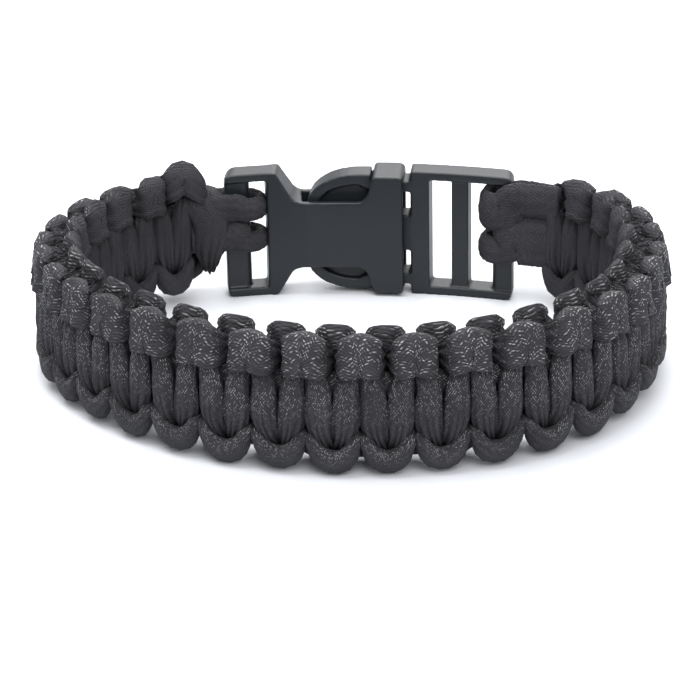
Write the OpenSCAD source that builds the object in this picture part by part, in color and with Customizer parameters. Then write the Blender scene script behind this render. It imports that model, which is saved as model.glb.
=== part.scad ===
// Braided cord bracelet, fastened and standing on its edge.
// The band is a cobra weave of thick nylon cord. A side-release buckle closes it at the back.
// X runs along the buckle, Y points from the wrist hollow towards the buckle, and Z is the band's width.
// The origin is at floor level, under the middle of the bracelet's bounding box.

/* [Weave] */
// Half knots round the band, an odd number so that the first and last side bars lie on the inner face
half_knots = 53; // [41:2:65]
// Length of one repeat along the band, which is two half knots
repeat_len = 7.5; // [7:0.05:9]
// Width of the band, which is its height as it stands
band_w = 21.4; // [18:0.1:25]
// Thickness of the band over its side bars
band_t = 8.4; // [8:0.1:11]
// How deep the grooves between the side bars are
bar_groove = 2; // [0.8:0.1:2.5]
// Height of the strip of crossing strands between the side bars
strand_w = 10; // [7:0.1:13]
// How far the crossing strands lie below the side bars
strand_step = 0.6; // [0:0.1:1]
// Depth of the creases between neighbouring crossing strands
strand_crease = 0.9; // [0.2:0.1:1.2]
// How far the first knot, beside the socket, stands above the rest of the band
first_knot_rise = 1; // [0:0.1:2]
// How much higher the band is held beside the buckle than at the front
back_rise = 1.8; // [0:0.1:2.5]

/* [Loop] */
// Radius of the tight bends beside the buckle
corner_r = 19.1; // [16:0.1:22]
// Share of the turn left by the buckle that the tight bend at the plug takes
plug_corner_share = 0.151; // [0.145:0.001:0.157]
// Share of that turn in the side at the plug
plug_side_share = 0.2885; // [0.282:0.0005:0.295]
// Share of that turn in the front
front_share = 0.229; // [0.222:0.001:0.236]
// Share of that turn in the side at the socket
socket_side_share = 0.297; // [0.291:0.001:0.303]

/* [Buckle] */
// Width of the buckle, which is its height as it stands
buckle_w = 21.9; // [20.5:0.1:24]
// Radius of the buckle's curved middle surface, which follows the wrist
contour_r = 95; // [85:1:110]
// Length of the socket from its end bar to its mouth
socket_len = 30.4; // [29:0.1:34]
// Thickness of the socket at its mouth
mouth_t = 7.8; // [7:0.1:9]
// Length of the collar round the mouth
collar_len = 5.3; // [4:0.1:7]
// How far the collar's long edges lie inside those of the rest of the buckle
collar_inset = 0.55; // [0.2:0.05:0.8]
// Thickness of the rails beside the slots of both halves
rail_t = 4.4; // [3.8:0.1:5.4]
// Thickness of the bars between the rails
bar_t = 3; // [2.5:0.1:3.4]
// Width of the socket's end bar
socket_bar_w = 4.3; // [3.8:0.1:5.2]
// Wall of the mouth above and below the plug
mouth_wall = 1.4; // [1.1:0.1:1.8]
// Width of the rails along the buckle's two long edges, beside the slots and the mouth
edge_wall = 1.45; // [1.3:0.05:1.8]
// Width of the socket's waist between the finger openings
waist_w = 11.6; // [9.5:0.1:12]
// Length of each finger opening
finger_len = 10.2; // [8:0.1:11]
// Length of the slope from the cord slot to the waist
shoulder_len = 5.2; // [3:0.1:6]
// Gap between the socket's mouth and the plug's base
mouth_gap = 1; // [0.5:0.1:1.5]
// Length of the plug's base and ladder, outside the socket
plug_len = 17.6; // [16.8:0.1:20]
// Width of the ladder's spare slot
spare_slot_w = 3.7; // [3:0.1:4]
// Width of the bar between the two slots
middle_bar_w = 2.9; // [2:0.1:3.5]
// Width of the plug's end bar
plug_bar_w = 3.6; // [3.3:0.1:4.4]
// Width of the plug's springy arms
arm_w = 1.9; // [1.6:0.1:2.6]
// Width of the guide tongue between the arms
tongue_w = 6.2; // [4:0.1:7]
// Wall of the curved finger pads on the arms
pad_wall = 1.9; // [1.5:0.1:2.4]
// Running gap between the plug and the socket
buckle_fit = 0.3; // [0.15:0.05:0.4]

/* [Cord loops] */
// Thickness of the cord where it lies flat round a bar
cord_t = 2.3; // [2:0.1:2.6]
// Width of the slots that the cord passes through, beyond the cord's thickness
slot_ease = 0.4; // [0.3:0.05:0.8]
// Small gap between a cord and what it lies on
cord_gap = 0.15; // [0.1:0.05:0.3]
// Width of the two cords round the socket's bar
socket_cord_w = 4.2; // [3:0.1:4.6]
// Height of the lower cord's middle at the socket
socket_low_z = 10.6; // [6:0.1:11]
// Distance between the middles of the two cords at the socket
socket_cord_step = 5.9; // [5:0.1:7]
// Width of the upper cord round the plug's bar, which is spread flat
plug_upper_cord_w = 6.6; // [4:0.1:6.8]
// Width of the lower cord round the plug's bar
plug_lower_cord_w = 4.6; // [3.6:0.1:5]
// Height of the lower cord's middle at the plug
plug_low_z = 9.2; // [6:0.1:10]
// Distance between the middles of the two cords at the plug
plug_cord_step = 6.8; // [6.2:0.1:7]
// Bare cord between the socket's bar and the weave
socket_neck = 2.6; // [1:0.1:4]
// Bare cord between the plug's bar and the weave
plug_neck = 6.1; // [3:0.1:9]

/* [Hidden] */
cord_colour = [0.23, 0.23, 0.25];
plastic_colour = [0.20, 0.21, 0.24];
round_fn = 48;

// Places along the buckle, measured round its middle surface from its own middle
buckle_len = socket_len + mouth_gap + plug_len;
socket_end = -buckle_len / 2;
mouth_end = socket_end + socket_len;
plug_start = mouth_end + mouth_gap;
plug_end = buckle_len / 2;
collar_start = mouth_end - collar_len;
waist_start = collar_start - finger_len - 1.2;
shoulder_start = waist_start - shoulder_len;
cord_slot_w = cord_t + slot_ease;
socket_slot_end = socket_end + socket_bar_w + cord_slot_w;
plug_slot_w = cord_slot_w + 1.3;
plug_slot_start = plug_end - plug_bar_w - plug_slot_w;
spare_slot_start = plug_slot_start - middle_bar_w - spare_slot_w;
mid_z = buckle_w / 2;

// The loop is a chain of tangent arcs, clockwise seen from above, from the buckle's middle.
// The radii of the two sides and the front are worked out so that the loop closes at its full length.
loop_len = half_knots * repeat_len / 2 + buckle_len + socket_neck + plug_neck;
weave_start = buckle_len / 2 + plug_neck;
weave_end = loop_len - buckle_len / 2 - socket_neck;
back_sweep = (buckle_len / 2 + plug_neck) / contour_r * 180 / PI;
spare_turn = 360 - 2 * back_sweep;
corner_share_left = 1 - plug_corner_share - plug_side_share - front_share - socket_side_share;
sweeps = [
    back_sweep,
    spare_turn * plug_corner_share,
    spare_turn * plug_side_share,
    spare_turn * front_share,
    spare_turn * socket_side_share,
    spare_turn * corner_share_left,
    back_sweep
];
function heading(i) = i == 0 ? 0 : heading(i - 1) - sweeps[i - 1];
// What an arc adds for each unit of its radius: along X, along Y, and in length
function arc_gain(i) = [
    sin(heading(i)) - sin(heading(i + 1)),
    cos(heading(i + 1)) - cos(heading(i)),
    sweeps[i] * PI / 180
];
gain = [for (i = [0:6]) arc_gain(i)];
owed = [0, 0, loop_len] - contour_r * (gain[0] + gain[6]) - corner_r * (gain[1] + gain[5]);
spread = gain[2] * cross(gain[3], gain[4]);
radii = [
    contour_r,
    corner_r,
    owed * cross(gain[3], gain[4]) / spread,
    gain[2] * cross(owed, gain[4]) / spread,
    gain[2] * cross(gain[3], owed) / spread,
    corner_r,
    contour_r
];
function arc_start(i) = i == 0 ? [0, 0, 0] : arc_start(i - 1) + radii[i - 1] * gain[i - 1];
starts = [for (i = [0:6]) arc_start(i)];
function arc_at(s, i = 6) = i == 0 || s >= starts[i][2] ? i : arc_at(s, i - 1);

// Point on the loop at length s, moved outwards by o, measured from the middle of the buckle
function plan_point(s, o) =
    let (
        i = arc_at(s),
        h0 = heading(i),
        h = h0 - (s - starts[i][2]) / radii[i] * 180 / PI
    ) [
        starts[i].x + radii[i] * (sin(h0) - sin(h)) - o * sin(h),
        starts[i].y + radii[i] * (cos(h) - cos(h0)) + o * cos(h)
    ];

// One closed outline of the weave at t along it
ring_steps = 8;
ring_points = 22;
end_round = 0.3 * repeat_len;
// How much the soft bars are flattened where they stand on the floor
foot_flat = 0.007 * band_w;
// Width of the slope at each side of the strip of crossing strands
strip_edge = 0.16 * strand_w;
function signed_power(x, e) = sign(x) * pow(abs(x), e);
// Full height in the middle of a side bar, nothing in the groove between two bars
function bar_bump(t) = pow(abs(cos(180 * t / repeat_len)), 0.6);
// The outer side bars of the upper edge lie opposite the inner ones of the lower edge
function groove_at(t, a) =
    let (
        outer = min(1, max(0, 0.5 + 3.5 * cos(a))),
        dip = [1 - bar_bump(t - repeat_len / 2), 1 - bar_bump(t)],
        own = sin(a) > 0 ? 0 : 1
    )
    bar_groove * (outer * dip[own] + (1 - outer) * dip[1 - own]);
// Two crossing strands to a repeat, with a crease between neighbours
function strand_dip(t) = strand_step + strand_crease * (1 - abs(sin(360 * t / repeat_len)));
function in_strip(w) = min(1, max(0, (strand_w / 2 + strip_edge - abs(w)) / strip_edge));
function end_shrink(t) =
    let (d = max(0, min(t, weave_end - weave_start - t, end_round)) / end_round)
    0.82 + 0.18 * sqrt(1 - pow(1 - d, 2));
function knot_rise(t, a) =
    first_knot_rise * exp(-pow((weave_end - weave_start - repeat_len / 2 - t) / (0.45 * repeat_len), 2))
    * pow(max(0, sin(a)), 3);
// Place of a point in the band's section: how far out from the middle surface, and its height
function section_point(t, a) =
    let (
        g = groove_at(t, a),
        flat_w = signed_power(sin(a), 0.66) * (band_w / 2 + foot_flat),
        strip = in_strip(flat_w),
        o = signed_power(cos(a), 0.4) * band_t / 2 * 1.05
            - sign(cos(a)) * (strip * strand_dip(t) + (1 - strip) * abs(cos(a)) * g * 0.8),
        w = flat_w - sin(a) * g
    ) [o * end_shrink(t), max(0, band_w / 2 + w * end_shrink(t)) + knot_rise(t, a)];
// The band is highest beside the buckle, and its front stands on the floor
front_y = min([for (k = [0:60]) plan_point(loop_len * k / 60, 0).y]);
function rise_at(p) = back_rise * (1 - p.y / front_y);
rings = half_knots * ring_steps / 2;
weave_points = [for (k = [0:rings], j = [0:ring_points - 1])
    let (
        t = k * repeat_len / ring_steps,
        q = section_point(t, 360 * j / ring_points),
        p = plan_point(weave_start + t, q[0])
    ) [p.x, p.y, q[1] + rise_at(plan_point(weave_start + t, 0))]];

// Middle of the bracelet seen from above, from the weave's own reach and the buckle's outer face
reach_x = [for (p = weave_points) p.x];
reach_y = [for (p = weave_points) p.y];
centre = [(min(reach_x) + max(reach_x)) / 2, (min(reach_y) + mouth_t / 2) / 2];

module cobra_weave() {
    function at(k, j) = k * ring_points + (j % ring_points);
    sides = [for (k = [0:rings - 1], j = [0:ring_points - 1], half = [0, 1])
        half == 0
            ? [at(k, j), at(k, j + 1), at(k + 1, j)]
            : [at(k, j + 1), at(k + 1, j + 1), at(k + 1, j)]];
    ends = [
        [for (j = [ring_points - 1:-1:0]) at(0, j)],
        [for (j = [0:ring_points - 1]) at(rings, j)]
    ];
    color(cord_colour) translate([-centre.x, -centre.y, 0])
        polyhedron(points = weave_points, faces = concat(sides, ends), convexity = 12);
}

// Plan outline bent round the buckle's middle surface, from places along it with their half thickness
function bent(a, o) = [
    (contour_r + o) * sin(a / contour_r * 180 / PI) - centre.x,
    (contour_r + o) * cos(a / contour_r * 180 / PI) - contour_r - centre.y
];
plan_step = 2;
function plan_stations(table) = [
    for (k = [0:len(table) - 2])
        let (n = max(1, ceil((table[k + 1][0] - table[k][0]) / plan_step)))
        for (m = [0:n - 1]) table[k] + (table[k + 1] - table[k]) * m / n,
    table[len(table) - 1]
];
module bent_wall(table, low_z, high_z) {
    stations = plan_stations(table);
    outline = concat(
        [for (p = stations) bent(p[0], p[1])],
        [for (k = [len(stations) - 1:-1:0]) bent(stations[k][0], -stations[k][1])]
    );
    translate([0, 0, low_z]) linear_extrude(height = high_z - low_z) polygon(outline);
}

// Front outline in places along the buckle and heights, cut straight through the buckle
module front_cut(outline) {
    flat_outline = [for (p = outline) [contour_r * sin(p[0] / contour_r * 180 / PI) - centre.x, p[1]]];
    translate([0, contour_r - centre.y, 0])
        rotate([90, 0, 0]) linear_extrude(height = 2 * contour_r) polygon(flat_outline);
}
function arc_points(c, rx, rz, from, to, n = 8) =
    [for (k = [0:n]) let (a = from + (to - from) * k / n) [c[0] + rx * cos(a), c[1] + rz * sin(a)]];
function mirror_z(outline) = [for (k = [len(outline) - 1:-1:0]) [outline[k][0], buckle_w - outline[k][1]]];

// Middles of the cord's turns round the two end bars
socket_turn = socket_end + socket_bar_w - bar_t / 2;
plug_turn = plug_end - plug_bar_w + bar_t / 2;
mouth_half_t = mouth_t / 2 - mouth_wall;

// Half thickness of the socket from its end bar to its mouth
socket_table = [
    [socket_end, rail_t / 2],
    [socket_slot_end, rail_t / 2],
    [waist_start, mouth_t / 2 - 0.3],
    [collar_start, mouth_t / 2],
    [mouth_end, mouth_t / 2]
];
end_corner = 1.8;
collar_corner = 1;
waist_top = mid_z + waist_w / 2;
collar_top = buckle_w - collar_inset;
waist_fillet = buckle_w - edge_wall - waist_top - 0.5;
shoulder_drop = buckle_w - waist_top;
socket_upper_edge = concat(
    arc_points([socket_end + end_corner, buckle_w - end_corner], end_corner, end_corner, 180, 90, 6),
    arc_points([shoulder_start, buckle_w - shoulder_drop * 0.16],
        shoulder_len * 0.16, shoulder_drop * 0.16, 90, 40, 3),
    arc_points([waist_start, waist_top + shoulder_drop * 0.6],
        shoulder_len * 0.6, shoulder_drop * 0.6, 225, 270, 5),
    arc_points([collar_start - 2.4, waist_top + waist_fillet], 2, waist_fillet, 270, 360, 5),
    [[collar_start, waist_top + waist_fillet + 0.3]],
    [[collar_start, collar_top - 0.4], [collar_start + 0.4, collar_top]],
    arc_points([mouth_end - collar_corner, collar_top - collar_corner], collar_corner, collar_corner, 90, 0, 4)
);
module open_slot(from, to) {
    bent_wall([[from, mouth_t], [to, mouth_t]], edge_wall, buckle_w - edge_wall);
}
// Shallow steps on both faces, between the rails, that leave a bar at its own thickness
module bar_steps(from, to) {
    difference() {
        open_slot(from, to);
        bent_wall([[from - 1, bar_t / 2], [to + 1, bar_t / 2]], 0, buckle_w);
    }
}
// A slot beside a cord bar, whose edge in the slot is a half round about turn_at
module cord_slot(turn_at, to) {
    difference() {
        open_slot(min(turn_at, to), max(turn_at, to));
        translate([bent(turn_at, 0).x, bent(turn_at, 0).y, 0]) cylinder(d = bar_t, h = buckle_w, $fn = round_fn);
    }
}
module buckle_socket() {
    color(plastic_colour) difference() {
        intersection() {
            bent_wall(socket_table, 0, buckle_w);
            front_cut(concat(socket_upper_edge, mirror_z(socket_upper_edge)));
        }
        bar_steps(socket_end - 1, socket_turn + 0.5);
        cord_slot(socket_turn, socket_slot_end);
        bent_wall([[waist_start - 0.6, mouth_half_t], [mouth_end + 1, mouth_half_t]],
            edge_wall, buckle_w - edge_wall);
    }
}

// Plug: base with a two-slot ladder, two springy arms with finger pads, and a guide tongue
arm_top = buckle_w - edge_wall - buckle_fit;
pad_end = collar_start - buckle_fit;
pad_top = collar_top - 0.1;
pad_rx = finger_len - 1.7;
pad_rz = pad_top - waist_top + 0.9;
pad_c = [pad_end - 2.2, pad_top - pad_rz];
pad_half_t = mouth_half_t - buckle_fit;
upper_arm = concat(
    [[plug_start + 1, arm_top], [pad_end, arm_top], [pad_end, pad_top]],
    arc_points(pad_c, pad_rx, pad_rz, 90, 190, 10),
    arc_points(pad_c, pad_rx - pad_wall, pad_rz - pad_wall, 190, 90, 10),
    [[pad_end, arm_top - arm_w], [plug_start + 1, arm_top - arm_w]]
);
// Thin web that fills the curve of a finger pad, so that each of its faces has a shallow pocket
pocket_depth = 1.1;
pad_web = concat(
    arc_points(pad_c, pad_rx - pad_wall / 2, pad_rz - pad_wall / 2, 190, 90, 10),
    [[pad_end - 0.2, pad_top - pad_wall / 2], [pad_end - 0.2, waist_top - 1.2]]
);
plug_corner = 1.5;
plug_table = [[plug_start, rail_t / 2], [plug_end, rail_t / 2]];
plug_outline = concat(
    [[plug_start, 0.3], [plug_start, buckle_w - 0.3], [plug_start + 0.3, buckle_w]],
    arc_points([plug_end - plug_corner, buckle_w - plug_corner], plug_corner, plug_corner, 90, 0, 5),
    arc_points([plug_end - plug_corner, plug_corner], plug_corner, plug_corner, 0, -90, 5),
    [[plug_start + 0.3, 0]]
);
module buckle_plug() {
    color(plastic_colour) {
        difference() {
            intersection() {
                bent_wall(plug_table, 0, buckle_w);
                front_cut(plug_outline);
            }
            open_slot(spare_slot_start, spare_slot_start + spare_slot_w);
            bar_steps(spare_slot_start + spare_slot_w - 0.5, plug_slot_start + 0.5);
            cord_slot(plug_turn, plug_slot_start);
            bar_steps(plug_turn - 0.5, plug_end + 1);
        }
        intersection() {
            bent_wall([[waist_start - 1, pad_half_t], [plug_start + 2, pad_half_t]], 0, buckle_w);
            union() {
                front_cut(upper_arm);
                front_cut(mirror_z(upper_arm));
            }
        }
        intersection() {
            bent_wall([[waist_start - 1, pad_half_t - pocket_depth], [plug_start, pad_half_t - pocket_depth]],
                0, buckle_w);
            union() {
                front_cut(pad_web);
                front_cut(mirror_z(pad_web));
            }
        }
        bent_wall([[collar_start - finger_len * 0.8, pad_half_t - 0.8], [plug_start + 1, pad_half_t]],
            mid_z - tongue_w / 2, mid_z + tongue_w / 2);
    }
}

// Cord round a buckle bar: two flat legs on arcs of the buckle's curve, and a half turn through the slot
module flat_cord(w) {
    square([cord_t, w - cord_t], center = true);
    for (side = [-1, 1]) translate([0, side * (w - cord_t) / 2]) circle(d = cord_t, $fn = round_fn);
}
module cord_loop(turn_at, leg_to, z, w) {
    turn_r = bar_t / 2 + cord_gap + cord_t / 2;
    way = sign(leg_to - turn_at);
    turn_angle = 90 - turn_at / contour_r * 180 / PI;
    leg_sweep = abs(leg_to - turn_at) / contour_r * 180 / PI;
    color(cord_colour) translate([-centre.x, -centre.y - contour_r, z]) {
        for (side = [-1, 1])
            rotate([0, 0, turn_angle])
                rotate_extrude(angle = -way * leg_sweep, $fn = 4 * round_fn)
                    translate([contour_r + side * turn_r, 0]) flat_cord(w);
        rotate([0, 0, turn_angle]) translate([contour_r, 0, 0])
            rotate([0, 0, way > 0 ? 0 : 180])
                rotate_extrude(angle = 180, $fn = round_fn)
                    translate([turn_r, 0]) flat_cord(w);
    }
}
socket_leg = -buckle_len / 2 - socket_neck + cord_gap;
module socket_loop_lower() {
    cord_loop(socket_turn, socket_leg, socket_low_z, socket_cord_w);
}
module socket_loop_upper() {
    cord_loop(socket_turn, socket_leg, socket_low_z + socket_cord_step, socket_cord_w);
}
plug_leg = buckle_len / 2 + plug_neck - cord_gap;
module plug_loop_lower() {
    cord_loop(plug_turn, plug_leg, plug_low_z, plug_lower_cord_w);
}
module plug_loop_upper() {
    cord_loop(plug_turn, plug_leg, plug_low_z + plug_cord_step, plug_upper_cord_w);
}

cobra_weave();
buckle_socket();
buckle_plug();
socket_loop_lower();
socket_loop_upper();
plug_loop_lower();
plug_loop_upper();
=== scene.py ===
import math
import bpy
import numpy as np
from mathutils import Matrix, Vector


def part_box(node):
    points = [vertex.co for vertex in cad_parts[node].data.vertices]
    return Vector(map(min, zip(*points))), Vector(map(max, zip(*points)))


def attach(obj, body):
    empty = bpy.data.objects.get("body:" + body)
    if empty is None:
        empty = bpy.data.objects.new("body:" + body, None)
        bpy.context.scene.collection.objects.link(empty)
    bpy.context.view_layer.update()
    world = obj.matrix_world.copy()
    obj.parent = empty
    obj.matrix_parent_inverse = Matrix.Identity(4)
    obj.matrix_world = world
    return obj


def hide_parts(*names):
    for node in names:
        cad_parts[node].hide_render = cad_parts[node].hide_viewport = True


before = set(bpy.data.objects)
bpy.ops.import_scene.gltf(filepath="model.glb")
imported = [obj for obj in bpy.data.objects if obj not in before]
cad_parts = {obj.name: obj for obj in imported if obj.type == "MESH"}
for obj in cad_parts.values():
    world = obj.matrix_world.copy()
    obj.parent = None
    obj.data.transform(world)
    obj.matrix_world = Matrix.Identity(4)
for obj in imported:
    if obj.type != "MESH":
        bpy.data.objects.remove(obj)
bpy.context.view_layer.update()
MM = 0.001

# Sizes of the bracelet in millimetres, the same as in the part's source
HALF_KNOTS = 53
REPEAT_LEN = 7.5
BAND_W = 21.4
BACK_RISE = 1.8
CORNER_R = 19.1
PLUG_CORNER_SHARE, PLUG_SIDE_SHARE, FRONT_SHARE, SOCKET_SIDE_SHARE = 0.151, 0.2885, 0.229, 0.297
CONTOUR_R = 95.0
BUCKLE_LEN = 30.4 + 1.0 + 17.6
MOUTH_T = 7.8
BAR_T = 3.0
CORD_T = 2.3
CORD_GAP = 0.15
SOCKET_BAR_W, PLUG_BAR_W = 4.3, 3.6
SOCKET_CORD_W, SOCKET_LOW_Z, SOCKET_CORD_STEP, SOCKET_NECK = 4.2, 10.6, 5.9, 2.6
PLUG_UPPER_CORD_W, PLUG_LOWER_CORD_W, PLUG_LOW_Z, PLUG_CORD_STEP, PLUG_NECK = 6.6, 4.6, 9.2, 6.8, 6.1
WEAVE_START = BUCKLE_LEN / 2 + PLUG_NECK
LOOP_LEN = HALF_KNOTS * REPEAT_LEN / 2 + BUCKLE_LEN + SOCKET_NECK + PLUG_NECK


class Loop:
    """Middle line of the bracelet: seven tangent arcs, clockwise from above, from the buckle's middle.

    They are half the buckle, a corner, the plug's side, the front, the socket's side, a corner and the
    other half of the buckle. The radii of the sides and the front are solved, so that the line closes
    and has its whole length.
    """

    def __init__(self):
        back = (BUCKLE_LEN / 2 + PLUG_NECK) / CONTOUR_R
        spare = 2 * math.pi - 2 * back
        shares = [PLUG_CORNER_SHARE, PLUG_SIDE_SHARE, FRONT_SHARE, SOCKET_SIDE_SHARE]
        shares.append(1 - sum(shares))
        sweeps = np.array([back] + [spare * s for s in shares] + [back])
        self.heads = -np.concatenate([[0.0], np.cumsum(sweeps)])
        h0, h1 = self.heads[:-1], self.heads[1:]
        # What each arc adds to x, to y and to the length, for a radius of one
        gain = np.stack([np.sin(h0) - np.sin(h1), np.cos(h1) - np.cos(h0), sweeps], axis=1)
        owed = np.array([0, 0, LOOP_LEN]) - CONTOUR_R * (gain[0] + gain[6]) - CORNER_R * (gain[1] + gain[5])
        sides_and_front = np.linalg.solve(gain[2:5].T, owed)
        self.radii = np.array([CONTOUR_R, CORNER_R, *sides_and_front, CORNER_R, CONTOUR_R])
        self.starts = np.concatenate([np.zeros((1, 3)), np.cumsum(self.radii[:, None] * gain, axis=0)])[:7]
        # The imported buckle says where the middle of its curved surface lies
        (left, _, _), (_, high, _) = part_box("buckle_socket")
        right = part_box("buckle_plug")[1][0]
        self.centre = np.array([-(left + right) / 2 / MM, MOUTH_T / 2 - high / MM])
        round_the_loop = np.linspace(0, LOOP_LEN, 400)
        self.front_y = (self.place(round_the_loop, 0, 0)[:, 1] + self.centre[1]).min()

    def heading(self, s):
        """The arc that s lies on, and the direction there: it turns by the length over the radius."""
        i = np.clip(np.searchsorted(self.starts[:, 2], s, side="right") - 1, 0, 6)
        return i, self.heads[i] - (s - self.starts[i, 2]) / self.radii[i]

    def place(self, s, out, up):
        """Points at length s along the loop, moved out from its middle surface, at height up.

        On an arc, x changes by the radius times the fall of the direction's sine, and y by the radius
        times the rise of its cosine.
        """
        s = np.asarray(s, float)
        i, h = self.heading(s)
        h0 = self.heads[i]
        x = self.starts[i, 0] + self.radii[i] * (np.sin(h0) - np.sin(h)) - out * np.sin(h)
        y = self.starts[i, 1] + self.radii[i] * (np.cos(h) - np.cos(h0)) + out * np.cos(h)
        return np.stack([x - self.centre[0], y - self.centre[1], up + 0 * s], axis=-1)

    def rise(self, s):
        """How much higher the band is held at s than at the front: it grows with the distance from it."""
        y = self.place(s, 0, 0)[:, 1] + self.centre[1]
        return BACK_RISE * (1 - y / self.front_y)

    def outward(self, s):
        """The direction out of the wrist hollow at s, square to the loop."""
        h = self.heading(np.asarray(s, float))[1]
        return np.stack([-np.sin(h), np.cos(h), 0 * h], axis=-1)


loop = Loop()


def smooth_path(rows, per_row):
    """A cubic B-spline near the rows: each point blends four of them, every column in the same way."""
    padded = np.concatenate([rows[:1], rows[:1], rows, rows[-1:], rows[-1:]])
    t = np.linspace(1, len(padded) - 2.001, int((len(padded) - 3) * per_row) + 1)
    i = np.floor(t).astype(int)
    f = (t - i)[:, None]
    p = [padded[i + k] for k in (-1, 0, 1, 2)]
    return ((1 - f) ** 3 * p[0] + (3 * f ** 3 - 6 * f ** 2 + 4) * p[1]
            + (-3 * f ** 3 + 3 * f ** 2 + 3 * f + 1) * p[2] + f ** 3 * p[3]) / 6


def unit(v):
    """Vectors of length one."""
    return v / np.maximum(np.linalg.norm(v, axis=-1, keepdims=True), 1e-9)


def bell(x, middle, reach):
    """A bell curve: 1 at the middle, and about a third of that at the reach on each side."""
    return np.exp(-((x - middle) / reach) ** 2)


def tube(name, points, ends, length, marks):
    """A closed tube: four-sided faces between its rings of points, and a fan to one point at each end.

    The UV map holds the length along the cord in millimetres and the share of the way round it, measured
    on the section itself, so that the braid keeps its scale on flat sides. Each mark becomes an attribute
    with a value at every point of the rings.
    """
    rings, around = points.shape[:2]
    i, j = np.meshgrid(np.arange(rings - 1), np.arange(around), indexing="ij")
    k = (j + 1) % around
    quads = np.stack([i * around + j, (i + 1) * around + j, (i + 1) * around + k, i * around + k], axis=-1)
    ring = np.arange(around)
    following = (ring + 1) % around
    last_ring = (rings - 1) * around
    tip = np.full(around, rings * around)
    start_cap = np.stack([ring, following, tip], axis=-1)
    end_cap = np.stack([following + last_ring, ring + last_ring, tip + 1], axis=-1)
    verts = np.concatenate([points.reshape(-1, 3), ends])
    corners = np.concatenate([quads.ravel(), start_cap.ravel(), end_cap.ravel()])
    sizes = np.concatenate([np.full(i.size, 4), np.full(2 * around, 3)])
    mesh = bpy.data.meshes.new(name)
    mesh.vertices.add(len(verts))
    mesh.vertices.foreach_set("co", (verts * MM).ravel())
    mesh.loops.add(len(corners))
    mesh.loops.foreach_set("vertex_index", corners)
    mesh.polygons.add(len(sizes))
    mesh.polygons.foreach_set("loop_start", np.concatenate([[0], np.cumsum(sizes)[:-1]]))
    mesh.polygons.foreach_set("loop_total", sizes)
    mesh.update(calc_edges=True)
    mesh.polygons.foreach_set("use_smooth", np.ones(len(sizes), bool))

    side = np.linalg.norm(np.roll(points, -1, axis=1) - points, axis=2)
    way_round = np.concatenate([np.zeros((rings, 1)), np.cumsum(side, axis=1)], axis=1)
    share = way_round / side.sum(1, keepdims=True)
    u0, u1 = length[i.ravel()], length[i.ravel() + 1]
    quad_uv = np.stack([u0, share[i, j].ravel(), u1, share[i + 1, j].ravel(),
                        u1, share[i + 1, j + 1].ravel(), u0, share[i, j + 1].ravel()], axis=-1).ravel()
    cap_v = np.stack([ring / around, (ring + 1) / around, (ring + 0.5) / around], axis=-1)
    cap_uv = [np.stack([np.full_like(cap_v, u), cap_v], axis=-1).ravel() for u in (0.0, length[-1])]
    layer = mesh.uv_layers.new(name="cord")
    layer.data.foreach_set("uv", np.concatenate([quad_uv, *cap_uv]))
    for label, value in marks.items():
        mark = mesh.attributes.new(label, "FLOAT", "POINT")
        mark.data.foreach_set("value", np.concatenate([value.ravel(), [0.0, 0.0]]))
    mesh.validate()
    obj = bpy.data.objects.new(name, mesh)
    bpy.context.scene.collection.objects.link(obj)
    return obj


# Ribs of a cord that is gathered into a hole: their number, depth in millimetres and wander along the
# cord, then the parts of their wave that lie below the plain surface and under painted shade
RIBS, RIB_DEPTH, RIB_WANDER, RIB_LEVEL, RIB_SHADE = 9, 0.6, 0.35, 0.6, 0.68
KNOBBLE_DEPTH = 0.022
# The painted light share of a cord falls off below this height over the floor, and is whole this much higher
DIM_BELOW, DIM_DEPTH = 7.0, 4.0
# The share of painted light on an upright side, what height and facing up add to it, and the share on a
# side that is edge-on to the outside
SIDE_LIGHT, HEIGHT_LIGHT, UPWARD_LIGHT, EDGE_LIGHT = 0.45, 0.35, 1.5, 0.55
# Where a cord's side begins to press on the next cord, as a share of half its width, and the painted shade
# there
PRESSED_FROM, PRESSED_SHADE = 0.72, 0.75


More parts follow.
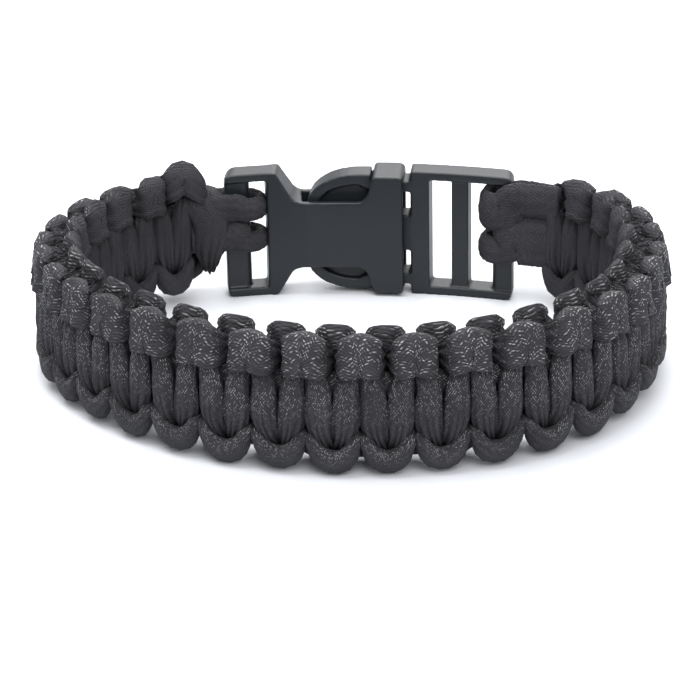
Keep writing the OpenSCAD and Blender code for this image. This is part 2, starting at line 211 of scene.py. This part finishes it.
def cord_mesh(name, middle, outward, normal, tall, wide, crease, boxy, around=48, seed=0):
    """A flat cord: a superellipse section carried along its middle line.

    A point of the section lies half the height times the cosine of its angle along the normal, and half
    the width times the sine across it, each raised to the power of 2 / boxy with its sign kept. Where
    the crease is high, ribs run along the cord, as in cloth gathered into a hole. The material reads
    three marks: crease, which also sets painted shade where the cord goes into a hole; lit, a share of
    painted light that is high where the surface faces up and out of the loop and lies well above the floor;
    and groove, painted shade that is high between two ribs and where cords press together.
    """
    tangent = unit(np.gradient(middle, axis=0))
    normal = unit(normal - (normal * tangent).sum(1, keepdims=True) * tangent)
    across = np.cross(tangent, normal)
    angle = np.linspace(0, 2 * np.pi, around, endpoint=False)
    c, s = np.cos(angle)[None, :], np.sin(angle)[None, :]
    # The side that the normal points to is more crowned than the other
    power = 2 / boxy[:, None] * np.where(c > 0, 1.5, 1.0)
    up_part = np.sign(c) * np.abs(c) ** power
    side_part = np.sign(s) * np.abs(s) ** power
    length = np.concatenate([[0.0], np.cumsum(np.linalg.norm(np.diff(middle, axis=0), axis=1))])
    rng = np.random.default_rng(seed)
    shift = np.interp(length, np.linspace(0, length[-1], 200), rng.uniform(0, 2 * np.pi, 200))[:, None]
    wave = np.abs(np.sin(RIBS * angle[None, :] / 2 + shift * RIB_WANDER))
    rib = (wave - RIB_LEVEL) * RIB_DEPTH * crease[:, None]
    # The braid's knobbles are small waves that run round and along the cord
    knobble = sum(np.sin(rng.uniform(3, 7) * length[:, None] + turns * angle[None, :] + rng.uniform(0, 6))
                  for turns in (5, -6, 7, -8, 9)) * KNOBBLE_DEPTH
    facing = unit(normal[:, None, :] * (up_part / tall[:, None])[..., None]
                  + across[:, None, :] * (side_part / wide[:, None])[..., None])
    points = middle[:, None, :] + facing * (rib + knobble)[..., None]
    points = points + (normal[:, None, :] * (tall[:, None] / 2 * up_part)[..., None]
                       + across[:, None, :] * (wide[:, None] / 2 * side_part)[..., None])
    # Painted shade between two ribs, where the cord is gathered
    groove = np.clip(1 - wave / RIB_SHADE, 0, 1) * crease[:, None]
    # A cord that lies flat on the band gets painted shade where its sides press on its neighbours. It counts
    # as flat where it faces straight out or in, and less and less down to 45 degrees off.
    flat = np.clip(np.abs((normal * outward).sum(axis=1)) * 3.3 - 2.3, 0, 1)[:, None]
    painted_pressed_shade = np.clip((np.abs(side_part) - PRESSED_FROM) / (1 - PRESSED_FROM), 0, 1) * PRESSED_SHADE * flat
    # The lit mark is a share of painted light: higher on faces turned up, well above the floor and turned
    # out of the loop
    height = np.clip((points[..., 2] - DIM_BELOW) / DIM_DEPTH, 0, 1)
    from_above = np.clip(SIDE_LIGHT + HEIGHT_LIGHT * height + UPWARD_LIGHT * facing[..., 2], 0, 1)
    from_outside = np.clip(EDGE_LIGHT + (facing * outward[:, None, :]).sum(axis=2), 0, 1)
    return tube(name, points, middle[[0, -1]], length,
                {"crease": np.repeat(crease, around), "lit": from_above * from_outside,
                 "groove": np.maximum(groove, painted_pressed_shade)})


# One half knot of a working cord, from the middle of a crossing to the middle of its bar. The cord
# crosses over the core, narrows into the hole under the other cord's bar, turns through the band's edge
# and comes out as a bar on the other face. A bar at the upper edge is a flat block. One at the lower edge
# hangs as a U between two holes. Both tables run down from the band's middle, and a block's heights are
# turned over later. Sizes are in millimetres.
ALONG, OUT, UP, TALL, WIDE, NORMAL_OUT, NORMAL_UP, CREASE, BOXY = range(9)
TO_BAR = REPEAT_LEN / 4
BLOCK_BAR = np.array([
    (0.00, 2.62, 0.0, 2.5, 4.05, 1.0, 0.0, 0.1, 2.2),
    (0.00, 2.60, -2.0, 2.5, 3.70, 1.0, -0.05, 0.1, 2.2),
    (-0.20, 2.45, -3.6, 2.5, 3.30, 0.97, -0.2, 0.2, 2.2),
    (-0.70, 2.10, -5.2, 2.5, 2.60, 0.85, -0.5, 0.6, 2.2),
    (-1.25, 1.30, -6.3, 2.6, 1.50, 0.4, -0.9, 1.0, 2.2),
    (-1.15, 0.00, -6.7, 4.0, 1.40, 0.0, -1.0, 0.7, 2.4),
    (-1.00, -1.50, -7.1, 5.0, 1.20, 0.1, -1.0, 0.4, 3.0),
    (-0.85, -2.95, -7.5, 5.8, 1.30, 0.2, -1.0, 0.3, 4.0),
    (-0.15, -3.10, -7.95, 6.2, 1.90, 0.24, -1.0, 0.15, 4.6),
    (0.85, -2.55, -8.2, 6.45, 3.00, 0.22, -1.0, 0.1, 4.4),
    (TO_BAR, -2.35, -8.3, 6.6, 3.30, 0.22, -1.0, 0.1, 4.4),
])
HANGING_BAR = np.array([
    (0.00, 2.62, 0.0, 2.5, 4.05, 1.0, 0.0, 0.1, 2.2),
    (-0.05, 2.70, -2.0, 2.5, 4.10, 1.0, -0.05, 0.5, 2.2),
    (-0.20, 2.65, -3.4, 2.5, 3.70, 0.97, -0.2, 0.75, 2.2),
    (-0.60, 2.35, -4.7, 2.5, 2.80, 0.9, -0.4, 0.85, 2.2),
    (-1.28, 1.40, -6.4, 2.6, 2.20, 0.5, -0.8, 1.0, 2.2),
    (-1.35, 0.00, -7.1, 3.4, 2.60, 0.0, -1.0, 1.0, 2.4),
    (-1.30, -1.60, -4.7, 2.1, 1.90, 0.0, -1.0, 0.4, 2.4),
    (-1.20, -2.70, -5.1, 2.1, 2.00, 0.1, -1.0, 0.2, 2.4),
    (-0.70, -3.05, -6.6, 2.8, 2.10, 0.2, -1.0, 0.15, 2.5),
    (0.40, -2.95, -8.2, 3.7, 2.40, 0.22, -1.0, 0.1, 2.6),
    (TO_BAR, -2.85, -8.75, 4.0, 2.60, 0.22, -1.0, 0.1, 2.6),
])
ROWS_TO_BAR = len(BLOCK_BAR) - 1
ROWS_TO_HOLE = 4
# How many rows a change at a bar or at a crossing reaches
BAR_REACH, CROSSING_REACH = 3.6, 2.2


def working_cord(crossing_face, first_middle, first_way, crossings, seed):
    """Rows of a working cord: half knots one after another, each turned over from the last.

    crossing_face is 1 where the crossings lie on the outer face and -1 on the inner; first_way is 1
    where the first crossing goes down. A row's share of a change falls off in a bell curve from the
    middle row of the bar or of the crossing.
    """
    rng = np.random.default_rng(seed)
    before = (HANGING_BAR if first_way < 0 else BLOCK_BAR)[ROWS_TO_HOLE:0:-1].copy()
    before[:, ALONG] = first_middle - before[:, ALONG]
    before[:, [UP, NORMAL_UP]] *= -first_way
    before[:, [OUT, NORMAL_OUT]] *= crossing_face
    rows = [before]
    for n in range(crossings):
        way = first_way * (-1) ** n
        half = HANGING_BAR if way > 0 else BLOCK_BAR
        back = half[-2:0:-1].copy()
        back[:, ALONG] = REPEAT_LEN / 2 - back[:, ALONG]
        part = np.concatenate([half, back]) if n < crossings - 1 else half[:ROWS_TO_HOLE + 1].copy()
        at = np.arange(len(part))
        bar = bell(at, ROWS_TO_BAR, BAR_REACH)
        cross = bell(np.minimum(at, 2 * ROWS_TO_BAR - at), 0, CROSSING_REACH)
        if crossing_face > 0 and way < 0:
            # Blocks on the inner face are lower, shorter along the band and rounder than on the outer
            arch = np.minimum(((at - ROWS_TO_BAR) / 3.5) ** 2, 1.5)
            lowered = bar * (0.1 + 1.4 * arch)
            part[:, UP] += lowered
            part[:, TALL] -= lowered
            part[:, BOXY] -= bar * 2.1
            part[:, ALONG] += bar * 0.5 * (TO_BAR - part[:, ALONG])
        elif way < 0:
            # Blocks on the outer face leave a narrow gap between them, and no two are quite alike
            part[:, ALONG] += bar * 0.24 * (TO_BAR - part[:, ALONG])
            part[:, UP] += bar * rng.normal(0, 0.10) * np.sign(at - ROWS_TO_BAR)
            part[:, TALL] *= 1 + bar * rng.normal(0, 0.03)
        # Knots tied by hand differ a little: places by tenths of a millimetre, sizes by hundredths
        part[:, ALONG] += bar * rng.normal(0, 0.09) + cross * rng.normal(0, 0.10)
        part[:, OUT] += bar * rng.normal(0, 0.09) + cross * rng.normal(0, 0.08)
        part[:, UP] += bar * rng.normal(0, 0.12)
        part[:, TALL] *= 1 + bar * rng.normal(0, 0.03)
        part[:, WIDE] *= 1 + cross * rng.normal(0, 0.03)
        part[:, ALONG] += first_middle + n * REPEAT_LEN / 2
        part[:, [UP, NORMAL_UP]] *= way
        part[:, [OUT, NORMAL_OUT]] *= crossing_face
        rows.append(part)
    return rows


def form_last_knot(outer, inner):
    """The band's end beside the socket: the bar on top of the inner face and the crossing below it."""
    # The last bar at the top of the inner face is longer and stands higher
    last_bar = outer[-2]
    at = np.arange(len(last_bar))
    on_inside = last_bar[:, OUT] < 0
    swell = bell(at, ROWS_TO_BAR, 5.0) * on_inside
    middle_along = last_bar[ROWS_TO_BAR, ALONG]
    last_bar[:, ALONG] += swell * ((last_bar[:, ALONG] - middle_along) * 0.85 - 1.3)
    last_bar[:, UP] += swell * 2.35
    last_bar[:, TALL] -= swell * 0.9
    last_bar[:, BOXY] -= swell * 0.6
    # It slopes down towards the buckle
    slope = on_inside * np.clip(at - ROWS_TO_BAR, 0, 4)
    last_bar[:, UP] -= 0.62 * slope
    last_bar[:, TALL] -= 0.4 * slope
    # The last crossing of the inner face is a wide oval, and the rows before it lead into it
    oval = inner[-1]
    oval[:, ALONG] += [1.7, 1.7, 1.6, 1.4, 1.2]
    oval[:, WIDE] = [5.9, 6.2, 6.6, 6.8, 6.6]
    oval[:, CREASE] *= 0.6
    oval[:, OUT] *= 1.25
    leading = inner[-2][-4:]
    leading[:, WIDE] *= [1.1, 1.2, 1.3, 1.35]
    leading[:, OUT] *= [1.0, 1.1, 1.2, 1.25]
    leading[:, ALONG] += [0.3, 0.7, 1.1, 1.5]


# Where the knots of the left and the right side lie off their even spacing, and where the hanging bars
# are drawn up: the length along the loop, the reach on each side of it and the most they move
LEFT_KNOTS, RIGHT_KNOTS, DRAWN_UP_BARS = (168, 22, 2.6), (84, 18, 1.6), (62, 16, 1.6)
POINTS_PER_ROW = 1.75
# How far from the band's middle a row is wholly on the outer face, at the upper edge and at the lower
OUTER_FACE, UPPER_EDGE, LOWER_EDGE = 2.8, 7, 8
BLOCKS_SINK = 1.75
HIDDEN_END = 1.8


def settled(along):
    """Length along the loop of a knot: those on each side of the front lie further from its middle."""
    left_at, left_reach, onward = LEFT_KNOTS
    right_at, right_reach, back = RIGHT_KNOTS
    return along + onward * bell(along, left_at, left_reach) - back * bell(along, right_at, right_reach)


def finish_cord(name, rows, seed):
    """Adds the two hidden ends, smooths the rows and builds the cord round the loop."""
    # The start comes out of the band's middle at the hole where the first crossing begins
    start = np.stack([rows[0], rows[0]])
    start[:, ALONG] += [0.6, 0.2]
    start[:, OUT] *= [-0.2, 0.3]
    start[:, UP] *= [0.75, 0.95]
    start[:, [TALL, WIDE]] = HIDDEN_END
    # The end turns in behind the last crossing and stops inside the band
    end = np.stack([rows[-1], rows[-1]])
    end[:, ALONG] -= [0.4, 0.9]
    end[:, OUT] *= [0.5, -0.1]
    end[:, UP] *= [1.03, 0.9]
    end[:, TALL] = HIDDEN_END
    end[:, WIDE] *= [0.9, 0.7]
    path = smooth_path(np.concatenate([start, rows, end]), POINTS_PER_ROW)
    along = settled(WEAVE_START + path[:, ALONG])
    middle = loop.place(along, path[:, OUT], BAND_W / 2 + path[:, UP])
    # No bar goes below the floor
    middle[:, 2] = np.maximum(middle[:, 2], 0.05 + path[:, TALL] / 2 * np.abs(path[:, NORMAL_UP]))
    # At the back the band rises on its inner side, and its outer blocks sink a little instead
    on_outside = np.clip(path[:, OUT] / OUTER_FACE, 0, 1)
    sunk = on_outside * np.clip(path[:, UP] / UPPER_EDGE, 0, 1) * BLOCKS_SINK
    middle[:, 2] += loop.rise(along) * (1 - sunk)
    # The hanging bars are drawn up where the band turns from the plug's side to the front
    drawn_at, drawn_reach, drawn_by = DRAWN_UP_BARS
    drawn_up = bell(along, drawn_at, drawn_reach) * on_outside * np.clip(-path[:, UP] / LOWER_EDGE, 0, 1)
    middle[:, 2] += drawn_by * drawn_up
    normal = loop.outward(along) * path[:, [NORMAL_OUT]] + np.array([0, 0, 1.0]) * path[:, [NORMAL_UP]]
    return cord_mesh(name, middle, loop.outward(along), normal, path[:, TALL], path[:, WIDE],
                     path[:, CREASE], path[:, BOXY], seed=seed)


def weave():
    """The two working cords of the cobra weave and the core that they hold."""
    outer = working_cord(1, TO_BAR, 1, HALF_KNOTS, 11)
    inner = working_cord(-1, TO_BAR, -1, HALF_KNOTS, 12)
    form_last_knot(outer, inner)
    pieces = [
        finish_cord("cord_crossing_outside", np.concatenate(outer), 21),
        finish_cord("cord_crossing_inside", np.concatenate(inner), 22),
    ]
    # Core cords lie flat in the middle of the band
    core_tall, core_wide, core_boxy = 2.6, 4.4, 2.4
    for name, height in (("core_cord_lower", -2.4), ("core_cord_upper", 2.4)):
        along = np.linspace(WEAVE_START - 1, LOOP_LEN - BUCKLE_LEN / 2 - SOCKET_NECK + 1, 400)
        one = np.ones_like(along)
        middle = loop.place(along, 0 * one, BAND_W / 2 + height + loop.rise(along))
        outward = loop.outward(along)
        pieces.append(cord_mesh(name, middle, outward, outward, core_tall * one, core_wide * one, 0 * one,
                                core_boxy * one, around=16))
    return pieces


def bar_loop(name, node, turn_at, way, leg, start, tip, far, seed, reach=1.0):
    """A bight of cord round a buckle's end bar: two legs on the buckle's curve and a half turn.

    The turn is a half circle round the bar, and a leg keeps the circle's radius off the buckle's curve.
    tip and far are the cord's height and width in the turn and in the legs, which change over from start
    beyond the bar's middle. reach is how far the turn stands off the bar, as a share of its radius.
    """
    (height, width), (far_height, far_width) = tip, far
    turn_r = BAR_T / 2 + CORD_GAP + CORD_T / 2
    leg_points, turn_points, change_len = 24, 20, 2.2
    straight = np.linspace(leg, 0, leg_points)
    turn = np.linspace(0, np.pi, turn_points)[1:-1]
    along = np.concatenate([turn_at + way * straight, turn_at - way * turn_r * reach * np.sin(turn),
                            turn_at + way * straight[::-1]])
    out = np.concatenate([np.full(leg_points, turn_r), turn_r * np.cos(turn), np.full(leg_points, -turn_r)])
    near = np.concatenate([straight, -turn_r * np.sin(turn), straight[::-1]])
    # The legs spread just past the bar, the outer one a quarter as much as the inner, and draw together
    # by a fifth towards the weave
    spread = np.clip((near - start) / change_len, 0, 1)
    spread = spread ** 2 * (3 - 2 * spread)
    spread = spread * np.where(out > 0, 0.25, 1.0)
    out = out * (1 - 0.2 * (np.maximum(near, 0) / leg) ** 2)
    along = np.mod(along, LOOP_LEN)
    middle = loop.place(along, out, height + (far_height - height) * spread)
    # The cord's width is a little uneven
    rng = np.random.default_rng(seed)
    wave = np.interp(np.arange(len(along)), np.linspace(0, len(along), 9), rng.normal(0, 0.06, 9))
    one = np.ones_like(along)
    slight_crease, bight_boxy = 0.25, 2.6
    obj = cord_mesh(name, middle, loop.outward(along), np.array([0, 0, 1.0]) + 0 * middle,
                    width + (far_width - width) * spread + wave, CORD_T * one, slight_crease * one,
                    bight_boxy * one, around=40, seed=seed)
    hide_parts(node)
    return obj


def buckle_loops():
    """The four bights that hold the buckle: two round each end bar, one above the other."""
    socket_turn = LOOP_LEN - BUCKLE_LEN / 2 + SOCKET_BAR_W - BAR_T / 2
    plug_turn = BUCKLE_LEN / 2 - PLUG_BAR_W + BAR_T / 2
    socket_high = SOCKET_LOW_Z + SOCKET_CORD_STEP
    plug_high = PLUG_LOW_Z + PLUG_CORD_STEP
    # Length of a leg, where it begins to spread, and how far the socket's turns stand off their bar
    socket_leg, socket_start, socket_reach = 9.0, -1.0, 1.22
    plug_leg, plug_start = 11.0, 0.9
    return [
        bar_loop("bight_socket_lower", "socket_loop_lower", socket_turn, -1, socket_leg, socket_start,
                 (SOCKET_LOW_Z - 0.6, SOCKET_CORD_W - 0.8), (11.4, 5.1), 31, socket_reach),
        bar_loop("bight_socket_upper", "socket_loop_upper", socket_turn, -1, socket_leg, socket_start,
                 (socket_high - 0.7, SOCKET_CORD_W - 0.2), (16.4, 4.6), 32, socket_reach),
        bar_loop("bight_plug_lower", "plug_loop_lower", plug_turn, 1, plug_leg, plug_start,
                 (PLUG_LOW_Z, PLUG_LOWER_CORD_W), (11.4, 8.6), 33),
        bar_loop("bight_plug_upper", "plug_loop_upper", plug_turn, 1, plug_leg, plug_start,
                 (plug_high, PLUG_UPPER_CORD_W), (18.6, 5.7), 34),
    ]


# Materials
class Value:
    """Wraps a shader socket, so that sums and products of sockets read as ordinary maths."""

    def __init__(self, tree, socket):
        self.tree, self.socket = tree, socket

    def _math(self, operation, *inputs):
        n = self.tree.nodes.new("ShaderNodeMath")
        n.operation = operation
        for place, value in zip(n.inputs, inputs):
            feed(self.tree, place, value)
        return Value(self.tree, n.outputs[0])

    def __add__(self, other): return self._math("ADD", self, other)
    def __radd__(self, other): return self._math("ADD", other, self)
    def __sub__(self, other): return self._math("SUBTRACT", self, other)
    def __rsub__(self, other): return self._math("SUBTRACT", other, self)
    def __mul__(self, other): return self._math("MULTIPLY", self, other)
    def __rmul__(self, other): return self._math("MULTIPLY", other, self)
    def __pow__(self, other): return self._math("POWER", self, other)
    def __rpow__(self, other): return self._math("POWER", other, self)
    def sin(self): return self._math("SINE", self)
    def floor(self): return self._math("FLOOR", self)
    def fract(self): return self._math("FRACT", self)
    def wrap(self, high): return self._math("WRAP", self, high, 0.0)
    def over(self, edge): return self._math("GREATER_THAN", self, edge)
    def least(self, other): return self._math("MINIMUM", self, other)
    def most(self, other): return self._math("MAXIMUM", self, other)


def feed(tree, place, value):
    """Links a wrapped socket to a node's input, or sets the input to a plain value."""
    if isinstance(value, Value):
        tree.links.new(value.socket, place)
    else:
        place.default_value = value


class Material:
    """A new material, with ways to add nodes to it and to set its shader."""

    def __init__(self, name):
        self.material = bpy.data.materials.new(name)
        self.material.use_nodes = True
        self.tree = self.material.node_tree
        self.shader = self.tree.nodes["Principled BSDF"]

    def node(self, kind, settings=None, **values):
        """Any node, from its type, its settings, and its sockets' values or links."""
        n = self.tree.nodes.new("ShaderNode" + kind)
        for key, value in (settings or {}).items():
            setattr(n, key, value)
        for key, value in values.items():
            feed(self.tree, n.inputs[key.replace("_", " ")], value)
        return n

    def value(self, n, output=0):
        """One output of a node, by its name or number."""
        return Value(self.tree, n.outputs[output])

    def mark(self, label):
        """A value that a piece's mesh carries."""
        return self.value(self.node("Attribute", {"attribute_name": label}), "Fac")

    def noise(self, place, scale, detail, **values):
        """Cloudy noise from 0 to 1."""
        return self.value(self.node("TexNoise", Vector=place, Scale=scale, Detail=detail, **values), "Fac")

    def mix(self, factor, low, high):
        """Colour between two colours. The node's sockets 6, 7 and 2 are its two colours and its result."""
        n = self.node("Mix", {"data_type": "RGBA"}, Factor=factor)
        feed(self.tree, n.inputs[6], low)
        feed(self.tree, n.inputs[7], high)
        return self.value(n, 2)

    def finish(self, **values):
        """Sets or links sockets of the material's own shader."""
        for key, value in values.items():
            feed(self.tree, self.shader.inputs[key.replace("_", " ")], value)


def cord_material():
    """Matte charcoal nylon with a braided sheath: two-over-two yarns, with painted highlights on some of
    them and painted shade in its hollows.

    p counts the yarns that climb the cord one way round, and q those that climb the other way: the length
    along in steps, plus or minus the share of the way round times the number of yarns. A yarn of p is on
    top where the two counts' sum, in turns of four, is two or three.
    """
    m = Material("nylon_cord")
    step_along, yarns_around, strays_by = 0.57, 26, 1.1
    # deep is the darkest tone, reached in painted shade; bright is the colour of a painted highlight
    deep, charcoal, bright = (0.007, 0.007, 0.0084, 1), (0.051, 0.0502, 0.0572, 1), (0.33, 0.33, 0.34, 1)
    on_cord = m.node("SeparateXYZ", Vector=m.value(m.node("UVMap", {"uv_map": "cord"})))
    along, around = m.value(on_cord, "X"), m.value(on_cord, "Y")
    crease, facing, groove = m.mark("crease"), m.mark("lit"), m.mark("groove")
    place = m.value(m.node("TexCoord"), "Object")
    # No yarn lies quite straight
    bent = m.node("TexNoise", Vector=place, Scale=800.0, Detail=1.0)
    stray = m.node("SeparateColor", Color=m.value(bent, "Color"))
    p = along * (1 / step_along) + around * yarns_around + m.value(stray, "Red") * strays_by
    q = along * (1 / step_along) - around * yarns_around + m.value(stray, "Green") * strays_by
    over = ((p.floor() + q.floor()).wrap(4.0)).over(1.5)
    p_part, q_part = p.fract(), q.fract()
    round_p, round_q = (p_part * math.pi).sin(), (q_part * math.pi).sin()
    # Each yarn is round across itself and dips where it goes under
    yarn_p = round_p * (0.55 + 0.45 * round_q)
    yarn_q = round_q * (0.55 + 0.45 * round_p)
    pillow = over * yarn_p + (1 - over) * yarn_q
    # A painted highlight: a bright stroke along the crest of some floats; a high power makes it thin, and a
    # low one long
    cell = m.node("CombineXYZ", X=p.floor() + over * 0.5, Y=q.floor() + (1 - over) * 0.5, Z=0.0)
    luck = m.value(m.node("TexWhiteNoise", {"noise_dimensions": "3D"}, Vector=m.value(cell)), "Value")
    thin, long = 10.0, 1.1
    crest = over * (round_p ** thin) * (round_q ** long) + (1 - over) * (round_q ** thin) * (round_p ** long)
    cloudy = m.noise(place, 170.0, 2.0)
    fuzz = m.noise(place, 4200.0, 2.0)
    # Painted highlights show on only some yarns, more in some patches, and none where the cord is gathered
    lit = (luck - 0.42).most(0.0) * 2.2 * ((cloudy - 0.36).most(0.0) * 5.0 + 0.4).least(1.0)
    lit = lit * facing * (1.1 - crease).most(0.0).least(1.0)
    glint = (crest * lit).least(1.0)
    # Painted shade: the cord is darkened where it goes into a hole, between its ribs and where it presses on
    # the next cord, and a little on faces that face the light
    hole = ((crease - 0.8).most(0.0) * 7.0).least(1.0)
    # Its tone also differs at random in clouds and fuzz, and the yarns' round tops are lighter than the
    # painted shade between them
    shade = (pillow * 0.2 + cloudy * 0.55 + fuzz * 0.4 - 0.04).most(0.0).least(1.0) * (1 - groove * 0.9)
    shade = shade * (1 - hole * 0.92) * (1 - facing * 0.2)
    base = m.mix(shade, deep, charcoal)
    bump = m.node("Bump", Strength=0.7, Distance=0.0002, Height=pillow * 0.7 + fuzz * 0.25)
    # The painted highlight is mixed into the base colour
    m.finish(Base_Color=m.mix(glint, base, bright), Roughness=0.68 - glint * 0.3, Normal=m.value(bump),
             Specular_IOR_Level=0.15)
    return m.material


def plastic_material():
    """Satin blue-black moulded plastic with a fine sparked grain and a little wear."""
    m = Material("moulded_plastic")
    dark, worn = (0.005, 0.0068, 0.0095, 1), (0.010, 0.0132, 0.017, 1)
    place = m.value(m.node("TexCoord"), "Object")
    grain = m.noise(place, 3200.0, 3.0)
    cloudy = m.noise(place, 120.0, 3.0)
    flow = m.noise(place, 38.0, 2.0, Distortion=0.6)
    bump = m.node("Bump", Strength=0.25, Distance=0.00004, Height=grain * 0.6 + flow * 0.6)
    m.finish(Base_Color=m.mix(cloudy, dark, worn), Roughness=0.36 + grain * 0.12 + cloudy * 0.06,
             Normal=m.value(bump), Specular_IOR_Level=0.4)
    return m.material


def round_edges(obj):
    """Moulded edges: the solid is merged, remeshed finely and relaxed, so that its corners are round."""
    weld = obj.modifiers.new("merge", "WELD")
    weld.merge_threshold = 0.01 * MM
    remesh = obj.modifiers.new("fine", "REMESH")
    remesh.mode = "VOXEL"
    remesh.voxel_size = 0.22 * MM
    remesh.use_smooth_shade = True
    relax = obj.modifiers.new("round", "SMOOTH")
    relax.factor = 0.5
    relax.iterations = 6


cord = cord_material()
plastic = plastic_material()
cords = weave()
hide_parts("cobra_weave")
cords += buckle_loops()
for piece in cords:
    piece.data.materials.append(cord)
    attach(piece, "root")

for node in ("buckle_socket", "buckle_plug"):
    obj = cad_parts[node]
    obj.data.materials.clear()
    obj.data.materials.append(plastic)
    round_edges(obj)


# Floor, lights and camera
def studio():
    """A pale floor under soft light: a bright world and three large square lamps, all aimed at the part."""
    bpy.ops.mesh.primitive_plane_add(size=6)
    floor = bpy.context.object
    floor.name = "floor"
    m = Material("pale_floor")
    m.finish(Base_Color=(0.63, 0.645, 0.68, 1), Roughness=0.6, Specular_IOR_Level=0.2)
    floor.data.materials.append(m.material)
    world = bpy.data.worlds.new("studio")
    world.use_nodes = True
    background = world.node_tree.nodes["Background"]
    background.inputs["Color"].default_value = (1, 1, 1, 1)
    background.inputs["Strength"].default_value = 0.95
    bpy.context.scene.world = world
    lamp_size = 0.6
    lamps = (
        ("key", (-0.18, 0.02, 0.85), 8.8),
        ("fill", (0.25, -0.6, 0.65), 5.4),
        ("back", (0.1, 0.7, 0.6), 4.8),
    )
    for name, place, power in lamps:
        light = bpy.data.lights.new(name, "AREA")
        light.size = lamp_size
        light.energy = power
        lamp = bpy.data.objects.new(name, light)
        lamp.location = place
        lamp.rotation_euler = (Vector((0, 0, 0)) - Vector(place)).to_track_quat("-Z", "Y").to_euler()
        bpy.context.scene.collection.objects.link(lamp)


def camera():
    """The photograph's camera: a long lens 24 degrees above the floor, with a slight roll.

    Its place, direction and lens were worked out together with the sizes of the loop.
    """
    # The aim lies on the floor, this far from under the buckle's middle
    aim = (Vector((-1.727, -26.158, 0.0)) - Vector((*loop.centre, 0.0))) * MM
    forward = Vector((-0.07313, 0.91062, -0.40674)).normalized()
    distance = 0.4208
    roll = math.radians(-1.0934)
    right = forward.cross(Vector((0, 0, 1))).normalized()
    up = right.cross(forward)
    rolled_right = right * math.cos(roll) + up * math.sin(roll)
    rolled_up = up * math.cos(roll) - right * math.sin(roll)
    lens = bpy.data.cameras.new("camera")
    lens.lens = 134.28
    lens.sensor_width = 36.0
    lens.clip_start = 0.01
    lens.clip_end = 20.0
    eye = bpy.data.objects.new("camera", lens)
    turn = Matrix((rolled_right, rolled_up, -forward)).transposed()
    eye.matrix_world = Matrix.Translation(aim - forward * distance) @ turn.to_4x4()
    bpy.context.scene.collection.objects.link(eye)
    bpy.context.scene.camera = eye


studio()
camera()
bpy.context.scene.view_settings.view_transform = "Standard"
